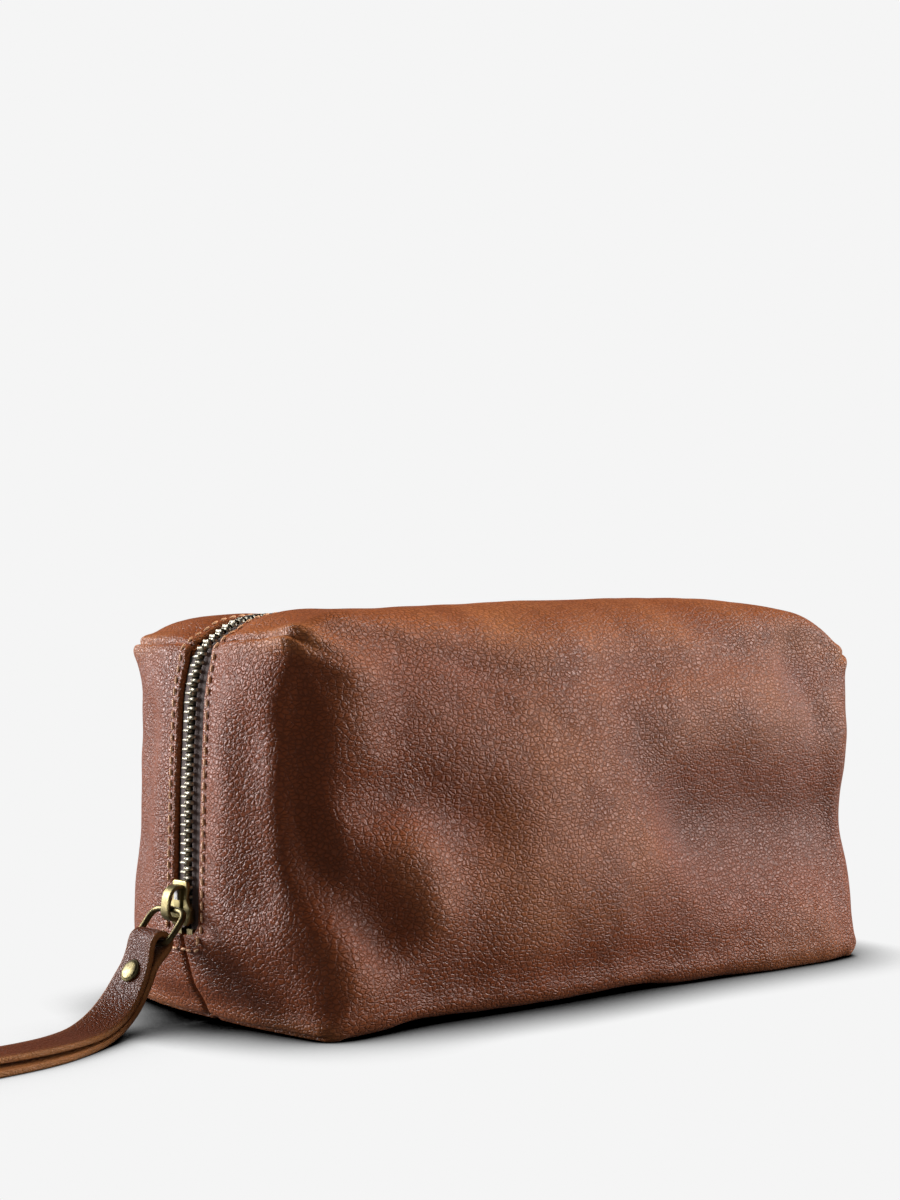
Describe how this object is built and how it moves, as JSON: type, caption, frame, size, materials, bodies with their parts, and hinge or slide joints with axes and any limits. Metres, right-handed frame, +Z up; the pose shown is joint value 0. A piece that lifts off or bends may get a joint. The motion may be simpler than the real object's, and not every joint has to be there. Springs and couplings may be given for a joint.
{
  "type": "leather wash bag",
  "caption": "Boxy zip-top leather wash bag with pinched corners, a metal zip over the top and down both ends, and a folded wrist strap on the puller ring.",
  "frame": {"origin": "middle of the flat base, on the surface the bag stands on", "axes": "+X runs along the bag away from the slider end, the front panel faces -Y, +Z is up"},
  "size_m": [0.4119, 0.099, 0.1245],
  "materials": {
    "leather": "brown pull-up leather, fine pebble grain, satin",
    "strap_leather": "brown pull-up leather with raw orange edges",
    "lining": "plain woven cotton lining",
    "zip_tape": "dark brown woven zip tape",
    "antique_brass": "antique brass, worn bright on the edges",
    "spring_steel": "plain spring steel"
  },
  "bodies": {
    "root": {"base_front": "leather", "base_back": "leather", "base_lining": "lining", "near_stop_front": "antique_brass", "near_stop_back": "antique_brass", "far_stop": "antique_brass"},
    "front_half": {"front_panel": "leather", "front_lining": "lining", "front_zip_tape": "zip_tape", "front_zip_teeth": "antique_brass"},
    "back_half": {"back_panel": "leather", "back_lining": "lining", "back_zip_tape": "zip_tape", "back_zip_teeth": "antique_brass"},
    "slider": {"slider_body": "antique_brass", "slider_bridge": "antique_brass", "slider_lock_spring": "spring_steel"},
    "ring": {"pull_ring": "antique_brass"},
    "strap": {"wrist_strap": "strap_leather", "rivet_cap": "antique_brass", "rivet_post": "antique_brass"}
  },
  "joints": [
    {"name": "front_open", "type": "hinge", "parent": "root", "child": "front_half", "pos_m": [0, -0.0505, 0.0238], "axis": [1, 0, 0], "range_deg": [0, 17], "deforming": ["front_zip_tape", "front_zip_teeth"]},
    {"name": "back_open", "type": "hinge", "parent": "root", "child": "back_half", "pos_m": [0, 0.0505, 0.0238], "axis": [-1, 0, 0], "range_deg": [0, 17], "deforming": ["back_zip_tape", "back_zip_teeth"]},
    {"name": "slider_pull", "type": "slide", "parent": "root", "child": "slider", "axis": [0, 0, -1], "range_m": [-0.055, 0]},
    {"name": "ring_swing", "type": "hinge", "parent": "slider", "child": "ring", "pos_m": [-0.1364, 0, 0.0324], "axis": [0, 1, 0], "range_deg": [0, 55]},
    {"name": "strap_swing", "type": "hinge", "parent": "ring", "child": "strap", "pos_m": [-0.1428, 0, 0.0239], "axis": [0, 1, 0], "range_deg": [0, 35]}
  ]
}
